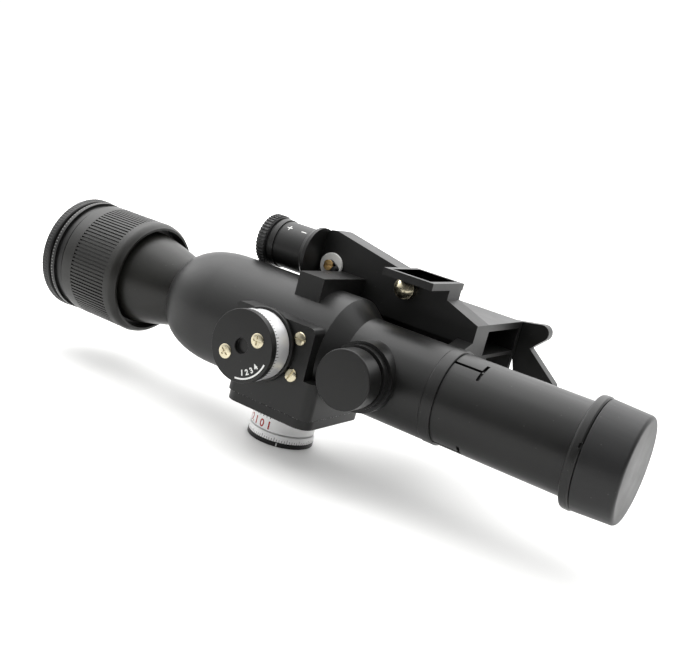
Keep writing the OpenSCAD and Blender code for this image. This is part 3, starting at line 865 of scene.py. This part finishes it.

# ---------------------------------------------------------------- eyepiece
# Cone, zoom ring and dioptre ring, all turned and black anodised.
# The zoom ring's grip is a band of fine ribs; the dioptre rim is knurled.

# Painted sheen: the eyepiece black is lighter and warmer than the tube's anodising and stands in
# for the light that its ribs catch.
eyepiece_painted_sheen = finish(
    "Eyepiece Black With Painted Sheen",
    (0.0085, 0.0083, 0.0072),
    (0.0120, 0.0116, 0.0100),
    rough=0.38,
    gloss=0.32,
    grain_scale=5200.0,
    grain_depth=0.005,
    wear=0.05,
)
broken_edges("eyepiece_tube", eyepiece_painted_sheen, 0.3)
broken_edges("zoom_ring", eyepiece_painted_sheen, 0.16)
broken_edges("dioptre_ring", anodised, 0.2)
paint_node("dioptre_scale", anodised)

worn_beads = finish("Dull Beads", (0.30, 0.30, 0.29), (0.18, 0.18, 0.17), rough=0.5)
along_sight = Matrix.Rotation(math.radians(90), 4, "Y")
axis_z = middle("zoom_ring").z
scale_low, scale_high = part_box("dioptre_scale")
bars(
    "dioptre_beads",
    Matrix.Translation((scale_low.x + 0.2 * mm, 0, axis_z)) @ along_sight,
    worn_beads,
    "dioptre_scale",
    **{
        "Count": 110,
        "Ring Radius": (scale_high.y - scale_low.y) / 2 - 0.05 * mm,
        "Bar Depth": 0.26 * mm,
        "Bar Width": 0.42 * mm,
        "Bar Length": 0.7 * mm,
    },
)
rim_low, rim_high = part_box("dioptre_ring")
bars(
    "dioptre_knurl",
    Matrix.Translation((rim_low.x + 0.9 * mm, 0, axis_z)) @ along_sight,
    anodised,
    "dioptre_ring",
    **{
        "Count": 120,
        "Ring Radius": (rim_high.y - rim_low.y) / 2 - 0.15 * mm,
        "Bar Depth": 0.7 * mm,
        "Bar Width": 0.62 * mm,
        "Bar Length": 2.8 * mm,
    },
)

# ---------------------------------------------------------------- bracket
# One aluminium casting: battery tube, web, guard plate, lug and rail block.
# It is sprayed like the housing and screwed to it through the lug.

broken_edges("bracket", cast_paint, 0.8, 3)
broken_edges("bracket_screws", pins_black, 0.1)
broken_edges("clamp_jaw", anodised, 0.3)
broken_edges("clamp_lever", cast_paint, 0.7, 3)
broken_edges("lever_pivot", plated_nickel, 0.3)
broken_edges("tension_nut", plated_nickel, 0.3, 3)
white_nylon = finish(
    "White Nylon", (0.78, 0.78, 0.76), (0.70, 0.70, 0.68), rough=0.5, dust=0.15, grain_depth=0.004
)
broken_edges("switch_washer", white_nylon, 0.15)
broken_edges("switch_bolt", turned_brass, 0.12)
broken_edges("switch_lever", pins_black, 0.12)

# ---------------------------------------------------------------- battery tube
# Cap with two rows of coarse teeth on the tube's open end, three button cells inside.
# The tube carries printed plus and minus marks.

low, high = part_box("battery_cap")
cap_radius = (high.y - low.y) / 2
battery_axis = Vector((0, middle("battery_cap").y, middle("battery_cap").z))
tooth = 0.45 * mm
core = bmesh.new()
outline = (
    (0.0, low.x),
    (0.80, low.x),
    (0.90, low.x + 0.35 * mm),
    (0.955, low.x + 0.6 * mm),
    (0.955, high.x - 0.3 * mm),
    (0.92, high.x),
    (0.0, high.x),
)
for r, x in outline:
    core.verts.new((x, battery_axis.y, battery_axis.z + r * cap_radius))
core.verts.ensure_lookup_table()
for i in range(len(outline) - 1):
    core.edges.new((core.verts[i], core.verts[i + 1]))
bmesh.ops.spin(
    core,
    geom=core.verts[:] + core.edges[:],
    cent=battery_axis,
    axis=(1, 0, 0),
    angle=2 * math.pi,
    steps=96,
)
bmesh.ops.remove_doubles(core, verts=core.verts, dist=0.002 * mm)
bmesh.ops.recalc_face_normals(core, faces=core.faces)
mesh = bpy.data.meshes.new("battery_cap_core")
core.to_mesh(mesh)
core.free()
smoothed(mesh, 25)
knurled_plastic = finish(
    "Moulded Cap",
    (0.014, 0.014, 0.014),
    (0.022, 0.022, 0.022),
    rough=0.5,
    grain_scale=2400.0,
    grain_depth=0.01,
)
carried(add("battery_cap_core", mesh), knurled_plastic, "battery_cap", "battery_cap")
for name, start, length in (("outer", 0.7, 1.7), ("inner", 2.7, 1.9)):
    bars(
        "battery_cap_teeth_" + name,
        Matrix.Translation(battery_axis)
        @ Matrix.Translation((low.x + start * mm, 0, 0))
        @ along_sight,
        knurled_plastic,
        "battery_cap",
        **{
            "Count": 44,
            "Ring Radius": cap_radius - tooth,
            "Bar Depth": 2 * tooth,
            "Bar Width": 1.0 * mm,
            "Bar Length": length * mm,
        },
    )
cell_can = finish(
    "Cell Can", (0.55, 0.56, 0.57), (0.45, 0.46, 0.47), rough=0.25, metallic=1.0, dust=0.0
)
paint_node("battery_cells", cell_can)

battery_tube_radius = 10.4 * mm
mark_height = 0.02 * mm
mark_length = 2.7 * mm
mark_width = 0.42 * mm
mark_angle = math.radians(128)
for name, x, arms in (("plus", -27, (0, 90)), ("minus", -19.5, (0,))):
    gathered = bmesh.new()
    for turn in arms:
        bmesh.ops.create_grid(
            gathered,
            x_segments=6,
            y_segments=6,
            size=0.5,
            matrix=Matrix.Rotation(math.radians(turn), 4, "Z")
            @ Matrix.Diagonal((mark_length, mark_width, 1, 1)),
        )
    for corner in gathered.verts:
        a = mark_angle - corner.co.y / battery_tube_radius
        r = battery_tube_radius + mark_height
        corner.co = (
            x * mm + corner.co.x,
            battery_axis.y + r * math.cos(a),
            battery_axis.z + r * math.sin(a),
        )
    mesh = bpy.data.meshes.new("battery_" + name)
    gathered.to_mesh(mesh)
    gathered.free()
    carried(add("battery_" + name, mesh), ink_white, "bracket")

# ---------------------------------------------------------------- table and light
# White table under the sight, which glows more the further out it goes, a sky that is
# bright on one side, and three large soft boxes. The camera looks down the sight from
# its objective end, and the table stops short of it.

floor_mesh = bpy.data.meshes.new("table_top")
reach = 8.0
front_edge = -0.26
floor_mesh.from_pydata(
    [(-reach, front_edge, 0), (reach, front_edge, 0), (reach, reach, 0), (-reach, reach, 0)],
    [],
    [(0, 1, 2, 3)],
)
floor = add("table_top", floor_mesh)
paper = bpy.data.materials.new("White Paper")
paper.use_nodes = True
paper_shader = paper.node_tree.nodes["Principled BSDF"]
paper_shader.inputs["Base Color"].default_value = (0.74, 0.74, 0.73, 1)
paper_shader.inputs["Roughness"].default_value = 0.6
paper_shader.inputs["Emission Color"].default_value = (1, 1, 1, 1)
paper_nodes = paper.node_tree.nodes
# Painted light: the table glows, faintly under the sight so that its shadow is lifted but kept,
# and more strongly further out so that the far table stays white.
table_spot = paper_nodes.new("ShaderNodeTexCoord")
away = paper_nodes.new("ShaderNodeVectorMath")
away.operation = "LENGTH"
far_glow = paper_nodes.new("ShaderNodeMapRange")
far_glow.inputs["From Min"].default_value = 0.22
far_glow.inputs["From Max"].default_value = 1.0
far_glow.inputs["To Min"].default_value = 0.12
far_glow.inputs["To Max"].default_value = 0.8
paper.node_tree.links.new(table_spot.outputs["Object"], away.inputs[0])
paper.node_tree.links.new(away.outputs["Value"], far_glow.inputs["Value"])
paper.node_tree.links.new(far_glow.outputs["Result"], paper_shader.inputs["Emission Strength"])
floor_mesh.materials.append(paper)

world = bpy.data.worlds.new("Studio")
bpy.context.scene.world = world
world.use_nodes = True
sky = world.node_tree
behind = sky.nodes["Background"]
behind.inputs["Color"].default_value = (1, 1, 1, 1)
behind.inputs["Strength"].default_value = 1.05
around = sky.nodes.new("ShaderNodeBackground")
around.inputs["Strength"].default_value = 2.0
facing = sky.nodes.new("ShaderNodeTexCoord")
toward = sky.nodes.new("ShaderNodeVectorMath")
toward.operation = "DOT_PRODUCT"
toward.inputs[1].default_value = (-0.55, 0.55, 0.63)
sky.links.new(facing.outputs["Generated"], toward.inputs[0])
fall = sky.nodes.new("ShaderNodeMapRange")
fall.interpolation_type = "SMOOTHSTEP"
fall.inputs["From Min"].default_value = -0.55
fall.inputs["From Max"].default_value = 0.65
fall.inputs["To Min"].default_value = 0.05
fall.inputs["To Max"].default_value = 1.0
sky.links.new(toward.outputs["Value"], fall.inputs["Value"])
sky.links.new(fall.outputs["Result"], around.inputs["Color"])
seen = sky.nodes.new("ShaderNodeLightPath")
choice = sky.nodes.new("ShaderNodeMixShader")
sky.links.new(seen.outputs["Is Camera Ray"], choice.inputs["Fac"])
sky.links.new(around.outputs["Background"], choice.inputs[1])
sky.links.new(behind.outputs["Background"], choice.inputs[2])
sky.links.new(choice.outputs["Shader"], sky.nodes["World Output"].inputs["Surface"])

for name, spot, size, power in (
    ("overhead_box", (-0.25, 0.35, 1.1), 1.3, 11.0),
    ("left_box", (-1.0, -0.1, 0.8), 0.8, 5.0),
    ("front_box", (0.6, -1.0, 0.9), 0.7, 1.6),
):
    lamp = bpy.data.lights.new(name, "AREA")
    lamp.shape = "SQUARE"
    lamp.size = size
    lamp.energy = power
    light = bpy.data.objects.new(name, lamp)
    bpy.context.collection.objects.link(light)
    light.matrix_world = Matrix.Translation(spot) @ (
        Vector((0, 0, 0.04)) - Vector(spot)
    ).to_track_quat("-Z", "Y").to_matrix().to_4x4()

eye = bpy.data.cameras.new("camera")
eye.lens = 49.0
eye.sensor_width = 36.0
eye.clip_start = 0.01
camera = bpy.data.objects.new("camera", eye)
bpy.context.collection.objects.link(camera)
camera.matrix_world = (
    Matrix.Translation((0.2026, -0.3373, 0.1322))
    @ Matrix.Rotation(math.radians(28.42), 4, "Z")
    @ Matrix.Rotation(math.radians(90 - 11.46), 4, "X")
    @ Matrix.Rotation(math.radians(14.89), 4, "Z")
)
bpy.context.scene.camera = camera
bpy.context.scene.view_settings.view_transform = "Standard"
